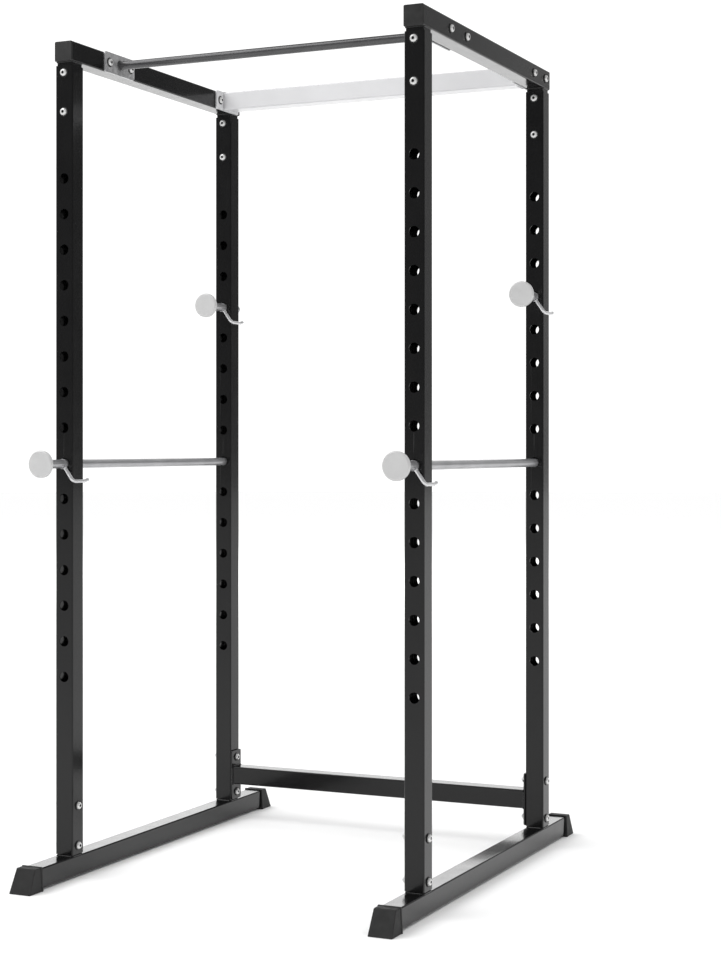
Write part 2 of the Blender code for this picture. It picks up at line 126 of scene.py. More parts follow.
def carved(bm, tool, operation="DIFFERENCE"):
    # one solid cut by another, or welded to it
    helpers = []
    for shape in (bm, tool):
        bmesh.ops.recalc_face_normals(shape, faces=shape.faces)
        mesh = bpy.data.meshes.new("helper")
        shape.to_mesh(mesh)
        shape.free()
        helper = bpy.data.objects.new("helper", mesh)
        bpy.context.scene.collection.objects.link(helper)
        helpers.append(helper)
    cut = helpers[0].modifiers.new("cut", "BOOLEAN")
    cut.operation = operation
    cut.solver = "EXACT"
    cut.object = helpers[1]
    bpy.context.view_layer.update()
    result = bmesh.new()
    result.from_mesh(helpers[0].evaluated_get(bpy.context.evaluated_depsgraph_get()).to_mesh())
    for helper in helpers:
        mesh = helper.data
        bpy.data.objects.remove(helper)
        bpy.data.meshes.remove(mesh)
    bmesh.ops.remove_doubles(result, verts=result.verts, dist=1e-6)
    return result


def squareTube(size, wall, corner, length, steps=6):
    # open square tube with rounded corners, from the origin along +Z
    bm = bmesh.new()
    bmesh.ops.create_cube(bm, size=1)
    bmesh.ops.scale(bm, vec=(size, size, length), verts=bm.verts)
    bmesh.ops.translate(bm, vec=(0, 0, length / 2), verts=bm.verts)
    caps = [face for face in bm.faces if abs(face.normal.z) > 0.9]
    bmesh.ops.delete(bm, geom=caps, context="FACES_ONLY")
    lengthwise = [
        edge for edge in bm.edges
        if abs(edge.verts[0].co.z - edge.verts[1].co.z) > length / 2
    ]
    bmesh.ops.bevel(
        bm, geom=lengthwise, offset=corner, segments=steps, profile=0.5, affect="EDGES", material=-1
    )
    bmesh.ops.recalc_face_normals(bm, faces=bm.faces)
    bmesh.ops.solidify(bm, geom=bm.faces[:], thickness=wall)
    return bm


def plate(low, high, corner, steps=5):
    # box whose four edges along X are rounded
    bm = bmesh.new()
    bmesh.ops.create_cube(bm, size=1)
    low, high = Vector(low), Vector(high)
    bmesh.ops.scale(bm, vec=high - low, verts=bm.verts)
    bmesh.ops.translate(bm, vec=(low + high) / 2, verts=bm.verts)
    along = [
        edge for edge in bm.edges
        if abs((edge.verts[0].co - edge.verts[1].co).normalized().x) > 0.9
    ]
    bmesh.ops.bevel(
        bm, geom=along, offset=corner, segments=steps, profile=0.5, affect="EDGES", material=-1
    )
    return bm


def lathe(profile, steps=48):
    # (distance along +Z, radius) pairs spun a full turn
    bm = bmesh.new()
    verts = [bm.verts.new((radius, 0, distance)) for distance, radius in profile]
    edges = [bm.edges.new(pair) for pair in zip(verts, verts[1:])]
    bmesh.ops.spin(
        bm, geom=verts + edges, cent=(0, 0, 0), axis=up, angle=math.tau, steps=steps,
        use_merge=True,
    )
    bmesh.ops.remove_doubles(bm, verts=bm.verts, dist=1e-6)
    bmesh.ops.recalc_face_normals(bm, faces=bm.faces)
    return bm


def rod(radius, length, sides=48):
    # plain round bar or cutter, from the origin along +Z
    bm = bmesh.new()
    middle = Matrix.Translation((0, 0, length / 2))
    bmesh.ops.create_cone(
        bm, cap_ends=True, segments=sides, radius1=radius, radius2=radius, depth=length,
        matrix=middle,
    )
    return bm


def arc(centre, radius, first, last, steps):
    # points of an arc in a lathe profile, with the angles in degrees from the axis
    turns = [math.radians(first + (last - first) * step / steps) for step in range(steps + 1)]
    return [
        (centre[0] + radius * math.cos(turn), centre[1] + radius * math.sin(turn))
        for turn in turns
    ]


def growRim(bm, rim, matrix):
    # pushes the open rim of a tube by one step and gives the new rim
    made = bmesh.ops.extrude_edge_only(bm, edges=rim)["geom"]
    moved = {item for item in made if isinstance(item, bmesh.types.BMVert)}
    bmesh.ops.transform(bm, matrix=matrix, verts=list(moved))
    return [edge for edge in bm.edges if edge.verts[0] in moved and edge.verts[1] in moved]


def turnAbout(point, axis, angle):
    away = Matrix.Translation(point)
    return away @ Matrix.Rotation(angle, 4, axis) @ Matrix.Translation(-Vector(point))


def swollen(rim, factor):
    # a scale about the middle of a rim
    middle = sum((vert.co for edge in rim for vert in edge.verts), Vector()) / (2 * len(rim))
    return Matrix.Translation(middle) @ Matrix.Scale(factor, 4) @ Matrix.Translation(-middle)


beadValues = {"pitch": 0.0022, "swell": 1.14, "rounds": 10, "turnSteps": 60}


def startBead(start, bead):
    # first ring of a bead, in the XZ plane
    bm = bmesh.new()
    ring = Matrix.Translation(start) @ Matrix.Rotation(math.pi / 2, 4, "X")
    bmesh.ops.create_circle(
        bm, cap_ends=False, segments=beadValues["rounds"], radius=bead, matrix=ring
    )
    return bm


def growBead(bm, steps, bead):
    # pushes the ring along the steps, fatter and thinner by turns
    rim = bm.edges[:]
    for count, step in enumerate(steps):
        factor = beadValues["swell"] if count % 2 == 0 else 1 / beadValues["swell"]
        rim = growRim(bm, rim, step @ swollen(rim, factor))
    bmesh.ops.remove_doubles(bm, verts=bm.verts, dist=bead / 20)
    return bm


def weldBead(size, corner, bead):
    # rippled bead round a square tube that stands on the XY plane
    reach = size / 2
    bm = startBead(Vector((reach, corner - reach, 0)), bead)
    pitch = beadValues["pitch"]
    straight = size - 2 * corner
    runs = max(2, round(straight / pitch / 2) * 2)
    bends = max(2, round(corner * math.pi / 2 / pitch / 2) * 2)
    steps = []
    for quarter in range(4):
        turned = Matrix.Rotation(math.pi / 2 * quarter, 4, "Z")
        steps += [Matrix.Translation(turned @ Vector((0, straight / runs, 0)))] * runs
        centre = turned @ Vector((reach - corner, reach - corner, 0))
        steps += [turnAbout(centre, up, math.pi / 2 / bends)] * bends
    return growBead(bm, steps, bead)


def roundBead(radius, bead, steps=beadValues["turnSteps"]):
    # rippled bead round a round tube that stands on the XY plane
    turn = Matrix.Rotation(math.tau / steps, 4, "Z")
    return growBead(startBead((radius, 0, 0), bead), [turn] * steps, bead)


def addPiece(name, bm, materials, body=rootBody, node=None, sharp=35, flat=True):
    # a finished piece: its place is in its mesh, and it rides on its body
    bmesh.ops.recalc_face_normals(bm, faces=bm.faces)
    mesh = bpy.data.meshes.new(name)
    bm.to_mesh(mesh)
    bm.free()
    for material in materials:
        mesh.materials.append(material)
    mesh.shade_smooth()
    mesh.set_sharp_from_angle(angle=math.radians(sharp))
    piece = bpy.data.objects.new(name, mesh)
    bpy.context.scene.collection.objects.link(piece)
    if flat:
        even = piece.modifiers.new("evenShading", "WEIGHTED_NORMAL")
        even.keep_sharp = True
        even.weight = 100
    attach(piece, body)
    if node:
        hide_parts(node)
    return piece


# materials


def newMaterial(name):
    material = bpy.data.materials.new(name)
    material.use_nodes = True
    nodes = material.node_tree.nodes
    return material, nodes, material.node_tree.links, nodes["Principled BSDF"]


def noiseNode(nodes, links, scale, detail, roughness=0.5, stretch=None):
    # noise on object coordinates, stretched along an axis where asked
    place = nodes.new("ShaderNodeTexCoord")
    source = place.outputs["Object"]
    if stretch:
        mapping = nodes.new("ShaderNodeMapping")
        mapping.inputs["Scale"].default_value = stretch
        links.new(source, mapping.inputs["Vector"])
        source = mapping.outputs["Vector"]
    noise = nodes.new("ShaderNodeTexNoise")
    noise.inputs["Scale"].default_value = scale
    noise.inputs["Detail"].default_value = detail
    noise.inputs["Roughness"].default_value = roughness
    links.new(source, noise.inputs["Vector"])
    return noise.outputs["Fac"]


def rampBetween(nodes, links, source, low, high, fromLow=0.3, fromHigh=0.7):
    # spreads a noise between two values, or between two colours
    if isinstance(low, tuple):
        ramp = nodes.new("ShaderNodeValToRGB")
        ramp.color_ramp.elements[0].position = fromLow
        ramp.color_ramp.elements[1].position = fromHigh
        ramp.color_ramp.elements[0].color = (*low, 1)
        ramp.color_ramp.elements[1].color = (*high, 1)
        links.new(source, ramp.inputs["Fac"])
        return ramp.outputs["Color"]
    spread = nodes.new("ShaderNodeMapRange")
    spread.inputs["From Min"].default_value = fromLow
    spread.inputs["From Max"].default_value = fromHigh
    spread.inputs["To Min"].default_value = low
    spread.inputs["To Max"].default_value = high
    links.new(source, spread.inputs["Value"])
    return spread.outputs["Result"]


def bumpFrom(nodes, links, height, distance, strength=1.0, under=None):
    bump = nodes.new("ShaderNodeBump")
    bump.inputs["Strength"].default_value = strength
    bump.inputs["Distance"].default_value = distance
    links.new(height, bump.inputs["Height"])
    if under:
        links.new(under, bump.inputs["Normal"])
    return bump.outputs["Normal"]


def coatedPaint(name, settings):
    # baked powder coat: even colour, faint orange peel, slightly uneven gloss
    material, nodes, links, shader = newMaterial(name)
    shader.inputs["Metallic"].default_value = settings["metallic"]
    shader.inputs["IOR"].default_value = settings["ior"]
    shader.inputs["Coat Weight"].default_value = settings["clear"]
    shader.inputs["Coat Roughness"].default_value = settings["clearRoughness"]
    cloud = noiseNode(nodes, links, settings["cloudScale"], 3)
    shade = rampBetween(nodes, links, cloud, settings["dark"], settings["light"])
    links.new(shade, shader.inputs["Base Color"])
    smear = noiseNode(nodes, links, settings["glossScale"], 4)
    gloss = rampBetween(nodes, links, smear, *settings["roughness"])
    links.new(gloss, shader.inputs["Roughness"])
    peel = noiseNode(nodes, links, settings["peelScale"], 2)
    grain = noiseNode(nodes, links, settings["grainScale"], 1)
    wavy = bumpFrom(nodes, links, peel, settings["peelDepth"])
    bump = bumpFrom(nodes, links, grain, settings["grainDepth"], under=wavy)
    links.new(bump, shader.inputs["Normal"])
    return material


def barSteel(name, settings, stretch):
    # plated or drawn steel with fine marks along the stretched axis
    material, nodes, links, shader = newMaterial(name)
    shader.inputs["Metallic"].default_value = settings["metallic"]
    cloud = noiseNode(nodes, links, settings["cloudScale"], 4)
    tint = rampBetween(nodes, links, cloud, settings["dark"], settings["light"])
    links.new(tint, shader.inputs["Base Color"])
    marks = noiseNode(nodes, links, settings["markScale"], 6, 0.65, stretch)
    gloss = rampBetween(nodes, links, marks, *settings["roughness"])
    links.new(gloss, shader.inputs["Roughness"])
    bump = bumpFrom(nodes, links, marks, settings["markDepth"], 0.6)
    links.new(bump, shader.inputs["Normal"])
    return material


def turnedSteel(name, settings):
    # satin steel faced on a lathe: rings follow the turnRadius attribute
    material, nodes, links, shader = newMaterial(name)
    shader.inputs["Metallic"].default_value = settings["metallic"]
    radius = nodes.new("ShaderNodeAttribute")
    radius.attribute_name = "turnRadius"
    rings = nodes.new("ShaderNodeTexNoise")
    rings.noise_dimensions = "1D"
    rings.inputs["Scale"].default_value = settings["ringScale"]
    rings.inputs["Detail"].default_value = 5
    links.new(radius.outputs["Fac"], rings.inputs["W"])
    cloud = noiseNode(nodes, links, settings["cloudScale"], 3)
    tint = rampBetween(nodes, links, cloud, settings["dark"], settings["light"])
    links.new(tint, shader.inputs["Base Color"])
    gloss = rampBetween(nodes, links, rings.outputs["Fac"], *settings["roughness"])
    links.new(gloss, shader.inputs["Roughness"])
    bump = bumpFrom(nodes, links, rings.outputs["Fac"], settings["ringDepth"])
    links.new(bump, shader.inputs["Normal"])
    return material


def mouldedSurface(name, settings):
    # rubber or plastic with a pebbled mould grain
    material, nodes, links, shader = newMaterial(name)
    shader.inputs["Specular IOR Level"].default_value = settings["specular"]
    cloud = noiseNode(nodes, links, settings["cloudScale"], 4)
    shade = rampBetween(nodes, links, cloud, settings["dark"], settings["light"])
    links.new(shade, shader.inputs["Base Color"])
    gloss = rampBetween(nodes, links, cloud, *settings["roughness"])
    links.new(gloss, shader.inputs["Roughness"])
    place = nodes.new("ShaderNodeTexCoord")
    pebbles = nodes.new("ShaderNodeTexVoronoi")
    pebbles.inputs["Scale"].default_value = settings["pebbleScale"]
    links.new(place.outputs["Object"], pebbles.inputs["Vector"])
    bump = bumpFrom(nodes, links, pebbles.outputs["Distance"], settings["pebbleDepth"])
    links.new(bump, shader.inputs["Normal"])
    return material


blackPaint = coatedPaint("blackPowderCoat", {
    "dark": (0.0040, 0.0040, 0.0042), "light": (0.0058, 0.0058, 0.0060),
    "metallic": 0.0, "ior": 1.32, "clear": 0.20, "clearRoughness": 0.08,
    "roughness": (0.17, 0.22), "cloudScale": 9, "glossScale": 22,
    "peelScale": 380, "peelDepth": 0.000010, "grainScale": 1900, "grainDepth": 0.000003,
})
silverPaint = coatedPaint("silverPaint", {
    "dark": (0.57, 0.57, 0.58), "light": (0.62, 0.62, 0.63),
    "metallic": 0.0, "ior": 1.45, "clear": 0.2, "clearRoughness": 0.15,
    "roughness": (0.30, 0.38), "cloudScale": 7, "glossScale": 40,
    "peelScale": 420, "peelDepth": 0.000012, "grainScale": 2200, "grainDepth": 0.000004,
})
greyPaint = coatedPaint("greyPaint", {
    "dark": (0.050, 0.050, 0.052), "light": (0.070, 0.070, 0.073),
    "metallic": 0.3, "ior": 1.45, "clear": 0.3, "clearRoughness": 0.12,
    "roughness": (0.22, 0.30), "cloudScale": 11, "glossScale": 40,
    "peelScale": 500, "peelDepth": 0.000012, "grainScale": 2200, "grainDepth": 0.000004,
})
# the plates' own lighter grey paint, with a wide blotchy light and dark mottle that is painted
# reflection
flangePaintWithPaintedReflection = coatedPaint("greyFlangePaint", {
    "dark": (0.26, 0.26, 0.265), "light": (0.46, 0.46, 0.465),
    "metallic": 0.35, "ior": 1.45, "clear": 0.3, "clearRoughness": 0.12,
    "roughness": (0.26, 0.38), "cloudScale": 60, "glossScale": 90,
    "peelScale": 500, "peelDepth": 0.00002, "grainScale": 2200, "grainDepth": 0.000006,
})
weldPaint = coatedPaint("paintOverWeld", {
    "dark": (0.0052, 0.0052, 0.0054), "light": (0.0085, 0.0085, 0.0088),
    "metallic": 0.0, "ior": 1.34, "clear": 0.2, "clearRoughness": 0.12,
    "roughness": (0.20, 0.30), "cloudScale": 30, "glossScale": 90,
    "peelScale": 700, "peelDepth": 0.00004, "grainScale": 2600, "grainDepth": 0.00001,
})
silverWeld = coatedPaint("silverPaintOverWeld", {
    "dark": (0.44, 0.44, 0.45), "light": (0.53, 0.53, 0.54),
    "metallic": 0.2, "ior": 1.45, "clear": 0.1, "clearRoughness": 0.2,
    "roughness": (0.34, 0.46), "cloudScale": 30, "glossScale": 90,
    "peelScale": 700, "peelDepth": 0.00004, "grainScale": 2600, "grainDepth": 0.00001,
})
rodSteel = barSteel("platedRod", {
    "dark": (0.36, 0.36, 0.37), "light": (0.44, 0.44, 0.45), "metallic": 0.65,
    "roughness": (0.28, 0.38), "cloudScale": 14, "markScale": 260, "markDepth": 0.000004,
}, (1.0, 0.02, 1.0))
hookSteel = barSteel("platedWire", {
    "dark": (0.58, 0.58, 0.59), "light": (0.70, 0.70, 0.71), "metallic": 0.6,
    "roughness": (0.18, 0.28), "cloudScale": 40, "markScale": 300, "markDepth": 0.000005,
}, (1.0, 1.0, 1.0))
zincPlate = barSteel("zincPlate", {
    "dark": (0.64, 0.64, 0.63), "light": (0.74, 0.74, 0.74), "metallic": 0.45,
    "roughness": (0.24, 0.36), "cloudScale": 160, "markScale": 900, "markDepth": 0.00001,
}, (1.0, 1.0, 1.0))
# near-black steel for the inside of the bolt sockets: painted shade in the recess
socketSteel = barSteel("socketSteel", {
    "dark": (0.035, 0.035, 0.035), "light": (0.060, 0.060, 0.060), "metallic": 0.5,
    "roughness": (0.45, 0.60), "cloudScale": 160, "markScale": 900, "markDepth": 0.00001,
}, (1.0, 1.0, 1.0))
knobSteel = turnedSteel("turnedKnob", {
    "dark": (0.52, 0.52, 0.52), "light": (0.55, 0.55, 0.55), "metallic": 0.15,
    "roughness": (0.34, 0.42), "cloudScale": 30,
    "ringScale": 1500, "ringDepth": 0.000004,
})
footRubber = mouldedSurface("footRubber", {
    "dark": (0.016, 0.016, 0.016), "light": (0.026, 0.026, 0.026), "specular": 0.35,
    "roughness": (0.55, 0.72), "cloudScale": 60,
    "pebbleScale": 1400, "pebbleDepth": 0.00008,
})
capPlastic = mouldedSurface("capPlastic", {
    "dark": (0.012, 0.012, 0.012), "light": (0.018, 0.018, 0.018), "specular": 0.4,
    "roughness": (0.38, 0.50), "cloudScale": 50,
    "pebbleScale": 1700, "pebbleDepth": 0.00006,
})
nylonRing = mouldedSurface("nylonRing", {
    "dark": (0.10, 0.16, 0.34), "light": (0.12, 0.19, 0.38), "specular": 0.4,
    "roughness": (0.40, 0.50), "cloudScale": 90,
    "pebbleScale": 2500, "pebbleDepth": 0.00003,
})
print("materials made")


# places of the holes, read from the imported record

holeValues = {"diameter": 0.026, "rounds": 48}
openings = frame["record"]["physics"]["openings"]
holeBoxes = {
    int(opening["name"].split("_")[2]): opening["box_m"] for opening in openings
    if opening["name"].startswith("left_hole")
}
lowest, second = (sum(corner[2] for corner in holeBoxes[number]) / 2 for number in (1, 2))
holeHeights = [lowest + (second - lowest) * step for step in range(max(holeBoxes))]


def boltCentres(match):
    # middle of each bolt node whose name has all of the words
    found = [
        name for name in frame["nodes"]
        if "_bolt" in name and all(word in name for word in match)
    ]
    return [sum(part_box(name), Vector()) / 2 for name in sorted(found)]


tubeValues = {
    "wall": 0.002, "cornerRadius": 0.0036, "cornerSteps": 8, "rimRadius": 0.0004,
    "boltHole": 0.0106, "boltHoleRounds": 32,
}
postLow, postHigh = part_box("front_left_upright")
tubeSize = postHigh.x - postLow.x


def railTube(size, length):
    return squareTube(
        size, tubeValues["wall"], tubeValues["cornerRadius"], length, tubeValues["cornerSteps"]
    )


def drilled(bm, centres, axis, diameter, rounds, length):
    # holes through a tube at each centre, along the axis
    drills = []
    for centre in centres:
        start = Vector(centre) - Vector(axis) * length / 2
        drills.append(placed(rod(diameter / 2, length, rounds), alongAxis(start, axis)))
    return carved(bm, joined(*drills))


def boltDrilled(bm, places, axis, length):
    return drilled(
        bm, places, axis, tubeValues["boltHole"], tubeValues["boltHoleRounds"], length
    )


def addUpright(end, side):
    node = f"{end}_{side}_upright"
    low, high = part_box(node)
    middle = (low + high) / 2
    size = high.x - low.x
    bm = railTube(size, high.z - low.z)
    placed(bm, Matrix.Translation((middle.x, middle.y, low.z)))
    row = [(middle.x, middle.y, height) for height in holeHeights]
    bm = drilled(bm, row, back, holeValues["diameter"], holeValues["rounds"], 2 * size)
    for bolts, axis in (("top_bolt", back), ("base_bolt", across)):
        centres = boltCentres((end, side, bolts))
        places = [Vector((middle.x, middle.y, centre.z)) for centre in centres]
        bm = boltDrilled(bm, places, axis, 2 * size)
    softenEdges(bm, tubeValues["rimRadius"], 2, 60)
    addPiece(f"{end}{side.title()}Upright", bm, [blackPaint], node=node)


for side in sides:
    for end in ends:
        addUpright(end, side)
print("uprights drilled")


spigotValues = {
    "wall": 0.003, "cornerRadius": 0.0028, "cornerSteps": 5, "rimRadius": 0.0003,
    "slip": 0.0006, "bead": 0.0024,
}


def addRail(side, kind):
    # square tube along Y; the top rail has holes for the bolts of the flanges
    node = f"{side}_{kind}_rail"
    low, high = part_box(node)
    size = high.x - low.x
    isBase = kind == "base"
    height = low.z + size / 2 if isBase else high.z - size / 2
    middle = Vector(((low.x + high.x) / 2, 0, height))
    bm = railTube(size, high.y - low.y)
    placed(bm, alongAxis(middle + back * low.y, back))
    if not isBase:
        centres = boltCentres((side, "pull_up_bar")) + boltCentres((side, "crossmember"))
        places = [middle + back * centre.y for centre in centres]
        bm = boltDrilled(bm, places, across, 2 * size)
    softenEdges(bm, tubeValues["rimRadius"], 2, 60)
    name = f"{side}{kind.title()}Rail"
    addPiece(name, bm, [blackPaint], node=node)
    for end in ends:
        addSpigot(name, end, side, middle, size, isBase)


def addSpigot(railName, end, side, middle, size, isBase):
    # stub welded on the rail, bolted inside the upright
    postLow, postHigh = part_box(f"{end}_{side}_upright")
    node = f"{end}_{side}_base_spigot" if isBase else f"{side}_top_rail"
    low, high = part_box(node)
    direction = up if isBase else -up
    start = Vector((middle.x, (postLow.y + postHigh.y) / 2, middle.z)) + direction * size / 2
    length = (high.z - start.z) if isBase else (start.z - low.z)
    outer = size - 2 * (tubeValues["wall"] + spigotValues["slip"])
    corner = spigotValues["cornerRadius"]
    stub = squareTube(outer, spigotValues["wall"], corner, length, spigotValues["cornerSteps"])
    placed(stub, alongAxis(start, direction))
    centres = boltCentres((end, side, "base_bolt" if isBase else "top_bolt"))
    places = [Vector((start.x, start.y, centre.z)) for centre in centres]
    axis = across if isBase else back
    stub = boltDrilled(stub, places, axis, size)
    softenEdges(stub, spigotValues["rimRadius"], 1, 60)
    name = f"{railName}{end.title()}"
    replaced = node if isBase else None  # the top spigots go with their rail
    addPiece(f"{name}Spigot", stub, [blackPaint], node=replaced)
    bead = placed(weldBead(outer, corner, spigotValues["bead"]), alongAxis(start, direction))
    addPiece(f"{name}Weld", bead, [weldPaint], flat=False)


for side in sides:
    addRail(side, "base")
    addRail(side, "top")
print("rails and spigots made")


memberValues = {
    "flange": 0.005, "flangeCorner": 0.006, "flangeEdge": 0.0006, "vent": 0.018,
    "ventRounds": 40, "bead": 0.0030, "roundBead": 0.0026,
    "pullUpDiameter": 0.022, "pullUpWall": 0.0025, "pullUpRounds": 64,
}


def addMember(node, name, boltWords, paint, flangeCoat, weld, isRound=False):
    # tube along X between two bolted flanges, with a bead round each end
    low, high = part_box(node)
    middle = (low + high) / 2
    thick = memberValues["flange"]
    length = high.x - low.x - 2 * thick
    if isRound:
        outer = memberValues["pullUpDiameter"] / 2
        bore = outer - memberValues["pullUpWall"]
        profile = [(0, bore), (0, outer), (length, outer), (length, bore), (0, bore)]
        bm = lathe(profile, memberValues["pullUpRounds"])
    else:
        bm = railTube(tubeSize, length)
    placed(bm, alongAxis((low.x + thick, middle.y, middle.z), across))
    addPiece(name, bm, [paint], node=node)
    for side in sides:
        outside = low.x if side == "left" else high.x
        inside = outside + (thick if side == "left" else -thick)
        near, far = sorted((inside, outside))
        corners = (near, low.y, low.z), (far, high.y, high.z)
        flange = plate(*corners, memberValues["flangeCorner"])
        centres = boltCentres((side, *boltWords))
        places = [Vector((near, centre.y, centre.z)) for centre in centres]
        flange = boltDrilled(flange, places, across, 6 * thick)
        flange = drilled(
            flange, [(near, middle.y, middle.z)], across,
            memberValues["vent"], memberValues["ventRounds"], 6 * thick,
        )
        softenEdges(flange, memberValues["flangeEdge"], 2, 60)
        addPiece(f"{name}{side.title()}Flange", flange, [flangeCoat])
        inward = across if side == "left" else -across
        if isRound:
            bead = roundBead(memberValues["pullUpDiameter"] / 2, memberValues["roundBead"])
        else:
            bead = weldBead(tubeSize, tubeValues["cornerRadius"], memberValues["bead"])
        placed(bead, alongAxis((inside, middle.y, middle.z), inward))
        addPiece(f"{name}{side.title()}Weld", bead, [weld], flat=False)


addMember(
    "rear_lower_crossmember", "rearLowerCrossmember", ("rear", "base_bolt"),
    blackPaint, blackPaint, weldPaint,
)
addMember(
    "rear_upper_crossmember", "rearUpperCrossmember", ("crossmember",),
    silverPaint, silverPaint, silverWeld,
)
addMember(
    "pull_up_bar", "pullUpBar", ("pull_up_bar",),
    greyPaint, flangePaintWithPaintedReflection, greyPaint, isRound=True,
)
print("cross-members and pull-up bar made")


capValues = {
    "faceCorner": 0.0034, "faceEdge": 0.0012, "plugInset": 0.0026, "plugCorner": 0.002,
    "overlap": 0.0002, "ribs": 3, "ribHeight": 0.0007, "ribWidth": 0.0016, "gap": 0.0001,
}


def addRailCap(end, side):
    # plug with a lightly rounded face and barbs on the part inside the tube
    node = f"{end}_{side}_rail_cap"
    low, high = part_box(node)
    railLow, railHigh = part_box(f"{side}_top_rail")
    faceAt = railHigh.y if end == "rear" else railLow.y
    outward = back if end == "rear" else -back
    thickness = (high.y - faceAt) if end == "rear" else (faceAt - low.y)
    depth = (high.y - low.y) - thickness
    middle = Vector(((low.x + high.x) / 2, faceAt, (low.z + high.z) / 2))
    size = high.x - low.x
    half = size / 2
    face = plate((0, -half, -half), (thickness, half, half), capValues["faceCorner"], 6)
    front = [edge for edge in face.edges if all(vert.co.x > thickness / 2 for vert in edge.verts)]
    softenEdges(face, capValues["faceEdge"], 3, 60, front)
    inner = size - 2 * (tubeValues["wall"] + capValues["plugInset"] / 2)
    corner = capValues["plugCorner"]
    half = inner / 2
    plug = plate((-depth, -half, -half), (capValues["overlap"], half, half), corner, 3)
    parts = [face, plug]
    for rib in range(capValues["ribs"]):
        at = -depth * (rib + 1) / (capValues["ribs"] + 1)
        reach = half + capValues["ribHeight"]
        near, far = at - capValues["ribWidth"] / 2, at + capValues["ribWidth"] / 2
        parts.append(plate((near, -reach, -reach), (far, reach, reach), corner, 3))
    cap = joined(*parts)
    turn = Matrix.Rotation(math.pi / 2 if end == "rear" else -math.pi / 2, 4, "Z")
    placed(cap, Matrix.Translation(middle + outward * capValues["gap"]) @ turn)
    addPiece(f"{end}{side.title()}RailCap", cap, [capPlastic], node=node)


footValues = {
    "fit": 0.0003, "edge": 0.0022, "lip": 0.0012, "lipWidth": 0.006, "lipLift": 0.0004,
    "cutPast": 0.02,
}


def addFoot(end, side):
    # rubber sleeve whose end slopes out to the floor, with a lip round its mouth
    node = f"{end}_{side}_foot"
    low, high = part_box(node)
    railLow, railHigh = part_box(f"{side}_base_rail")
    isRear = end == "rear"
    sign = 1 if isRear else -1
    x = (low.x + high.x) / 2
    railEnd = railHigh.y if isRear else railLow.y
    mouth = low.y if isRear else high.y
    toe = high.y if isRear else low.y
    railTop = railLow.z + tubeSize
    wall = high.z - railTop
    half = tubeSize / 2 + wall
    splay = (high.x - low.x) / 2 - half
    shoulder = railEnd + sign * 2 * wall
    bm = bmesh.new()
    bmesh.ops.create_cube(bm, size=1)
    for vert in bm.verts:
        isLow = vert.co.z < 0
        isOuter = vert.co.y * sign > 0
        reach = half + (splay if isLow else 0)
        outerY = toe if isLow else shoulder
        y = outerY if isOuter else mouth
        vert.co = Vector((x + math.copysign(reach, vert.co.x), y, 0 if isLow else high.z))
    softenEdges(bm, footValues["edge"], 4, 30)
    lipLow, lipHigh = sorted((mouth, mouth + sign * footValues["lipWidth"]))
    lip = bmesh.new()
    bmesh.ops.create_cube(lip, size=1)
    for vert in lip.verts:
        isLow = vert.co.z < 0
        reach = half + footValues["lip"] + (splay if isLow else 0)
        height = footValues["lipLift"] if isLow else high.z + footValues["lip"]
        y = lipHigh if vert.co.y > 0 else lipLow
        vert.co = Vector((x + math.copysign(reach, vert.co.x), y, height))
    softenEdges(lip, footValues["edge"] / 2, 3, 30)
    bm = carved(bm, lip, "UNION")
    socketHalf = tubeSize / 2 + footValues["fit"]
    socketFrom, socketTo = sorted(
        (mouth - sign * footValues["cutPast"], railEnd + sign * footValues["fit"])
    )
    socket = plate(
        (socketFrom, -socketHalf, -socketHalf), (socketTo, socketHalf, socketHalf),
        tubeValues["cornerRadius"],
    )
    turn = Matrix.Rotation(math.pi / 2, 4, "Z")
    placed(socket, Matrix.Translation((x, 0, railLow.z + tubeSize / 2)) @ turn)
    bm = carved(bm, socket)
    addPiece(f"{end}{side.title()}Foot", bm, [footRubber], node=node, sharp=45)


for side in sides:
    for end in ends:
        addRailCap(end, side)
        addFoot(end, side)
print("feet and caps made")


boltValues = {
    "radius": 0.005, "headRadius": 0.009, "headHeight": 0.0055, "headTop": 0.0050,
    "headRim": 0.0012, "headSteps": 8, "headEdge": 0.0002, "socketFlats": 0.0070,
    "socketDepth": 0.0040, "washerRadius": 0.0118, "washerThickness": 0.0016,
    "washerEdge": 0.0003, "washerRounds": 48, "rounds": 40, "threadPitch": 0.0015,
    "threadPast": 0.0028, "ridges": 4, "threadRoot": 0.86, "threadEnd": 0.84, "gap": 0.0003,
}
nutValues = {
    "flats": 0.017, "height": 0.009, "hexHeight": 0.0066, "chamfer": 0.0012,
    "flatTop": 0.98, "bore": 0.98, "insert": 0.0004, "rounds": 48,
}


